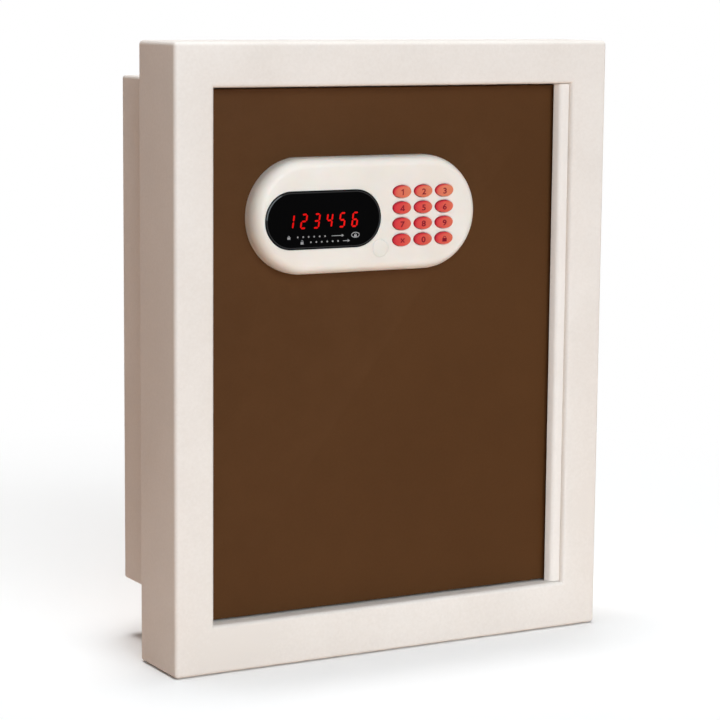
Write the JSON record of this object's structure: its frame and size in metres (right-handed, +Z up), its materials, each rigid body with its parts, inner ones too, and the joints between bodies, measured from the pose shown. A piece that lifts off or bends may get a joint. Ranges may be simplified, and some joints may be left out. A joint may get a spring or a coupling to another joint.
{
  "type": "recessed wall safe",
  "caption": "Recessed wall safe: deep ivory surround, set-back brown door with a pill-shaped keypad and lit display, hinged at the right behind a cover strip, motorised side bolts.",
  "frame": {"origin": "centre of the surround on the wall's face", "axes": "+X to the right as seen from the room, +Y into the wall, +Z up"},
  "size_m": [0.406, 0.162, 0.508],
  "materials": {
    "ivory_paint": "satin powder coat",
    "brown_paint": "matte powder coat",
    "plated_steel": "zinc plated",
    "mild_steel": "satin",
    "polished_steel": "polished",
    "bronze": "satin",
    "black_rubber": "matte",
    "grey_felt": "felt",
    "ivory_plastic": "fine texture",
    "window_black": "gloss",
    "lit_red": "lit",
    "key_red": "translucent satin",
    "black_plastic": "satin",
    "brown_plastic": "satin",
    "pale_plastic": "satin",
    "board_green": "solder mask",
    "motor_steel": "satin",
    "cell_wrap": "gloss",
    "contact_nickel": "nickel plated",
    "lead_red": "satin",
    "lead_black": "satin"
  },
  "bodies": {
    "surround": {"front_frame": "ivory_paint", "back_ring": "ivory_paint", "strike_jamb": "ivory_paint", "rear_case": "ivory_paint", "case_screws": "plated_steel", "hinge_strip": "ivory_paint", "strike_plates": "mild_steel", "jamb_screws": "plated_steel", "hinge_bushes": "bronze", "door_stops": "mild_steel", "stop_pads": "black_rubber", "floor_mat": "grey_felt"},
    "door": {"door_panel": "brown_paint", "door_pan": "brown_paint", "back_cover": "brown_paint", "hatch_rails": "brown_paint", "cover_screws": "plated_steel", "motor_screws": "plated_steel", "keypad_screws": "plated_steel", "board_screws": "plated_steel", "guide_studs": "plated_steel", "hinge_blocks": "mild_steel", "hinge_pins": "polished_steel", "cable_grommet": "black_rubber", "keypad_mat": "black_rubber", "keypad_housing": "ivory_plastic", "display_window": "window_black", "display_digits": "lit_red", "battery_holder": "black_plastic", "bolt_sensors": "black_plastic", "display_module": "black_plastic", "service_port": "black_plastic", "bolt_guides": "pale_plastic", "gearbox_housing": "pale_plastic", "cable_clips": "pale_plastic", "keypad_board": "board_green", "motor_can": "motor_steel", "battery_cells": "cell_wrap", "battery_contacts": "contact_nickel", "motor_lead": "lead_red", "battery_lead": "lead_black"},
    "bolts": {"bolt_carriage": "mild_steel", "locking_bolts": "polished_steel", "bolt_pins": "plated_steel"},
    "pinion": {"drive_pinion": "bronze", "output_shaft": "polished_steel"},
    "button_1": {"key_1": "key_red"},
    "button_2": {"key_2": "key_red"},
    "button_3": {"key_3": "key_red"},
    "button_4": {"key_4": "key_red"},
    "button_5": {"key_5": "key_red"},
    "button_6": {"key_6": "key_red"},
    "button_7": {"key_7": "key_red"},
    "button_8": {"key_8": "key_red"},
    "button_9": {"key_9": "key_red"},
    "button_clear": {"key_clear": "key_red"},
    "button_0": {"key_0": "key_red"},
    "button_lock": {"key_lock": "key_red"},
    "cap": {"port_cap": "ivory_plastic"},
    "hatch": {"battery_hatch": "brown_plastic"}
  },
  "joints": [
    {"name": "door_swing", "type": "hinge", "parent": "surround", "child": "door", "pos_m": [0.145, -0.044, 0], "axis": [0, 0, 1], "range_deg": [0, 90]},
    {"name": "bolt_throw", "type": "slide", "parent": "door", "child": "bolts", "axis": [-1, 0, 0], "range_m": [0, 0.02]},
    {"name": "pinion_turn", "type": "hinge", "parent": "door", "child": "pinion", "pos_m": [-0.062, -0.03825, -0.001], "axis": [0, 1, 0], "range_deg": [-1, 128.5]},
    {"name": "press_1", "type": "slide", "parent": "door", "child": "button_1", "axis": [0, 1, 0], "range_m": [0, 0.001], "stiffness_N_per_m": 250},
    {"name": "press_2", "type": "slide", "parent": "door", "child": "button_2", "axis": [0, 1, 0], "range_m": [0, 0.001], "stiffness_N_per_m": 250},
    {"name": "press_3", "type": "slide", "parent": "door", "child": "button_3", "axis": [0, 1, 0], "range_m": [0, 0.001], "stiffness_N_per_m": 250},
    {"name": "press_4", "type": "slide", "parent": "door", "child": "button_4", "axis": [0, 1, 0], "range_m": [0, 0.001], "stiffness_N_per_m": 250},
    {"name": "press_5", "type": "slide", "parent": "door", "child": "button_5", "axis": [0, 1, 0], "range_m": [0, 0.001], "stiffness_N_per_m": 250},
    {"name": "press_6", "type": "slide", "parent": "door", "child": "button_6", "axis": [0, 1, 0], "range_m": [0, 0.001], "stiffness_N_per_m": 250},
    {"name": "press_7", "type": "slide", "parent": "door", "child": "button_7", "axis": [0, 1, 0], "range_m": [0, 0.001], "stiffness_N_per_m": 250},
    {"name": "press_8", "type": "slide", "parent": "door", "child": "button_8", "axis": [0, 1, 0], "range_m": [0, 0.001], "stiffness_N_per_m": 250},
    {"name": "press_9", "type": "slide", "parent": "door", "child": "button_9", "axis": [0, 1, 0], "range_m": [0, 0.001], "stiffness_N_per_m": 250},
    {"name": "press_clear", "type": "slide", "parent": "door", "child": "button_clear", "axis": [0, 1, 0], "range_m": [0, 0.001], "stiffness_N_per_m": 250},
    {"name": "press_0", "type": "slide", "parent": "door", "child": "button_0", "axis": [0, 1, 0], "range_m": [0, 0.001], "stiffness_N_per_m": 250},
    {"name": "press_lock", "type": "slide", "parent": "door", "child": "button_lock", "axis": [0, 1, 0], "range_m": [0, 0.001], "stiffness_N_per_m": 250},
    {"name": "cap_pull", "type": "slide", "parent": "door", "child": "cap", "axis": [0, -1, 0], "range_m": [0, 0.02]},
    {"name": "hatch_slide", "type": "slide", "parent": "door", "child": "hatch", "axis": [0, 0, 1], "range_m": [0, 0.11]}
  ],
  "couplings": [
    {"joint": "pinion_turn", "follows": "bolt_throw", "rad_per_m": 111.11}
  ]
}
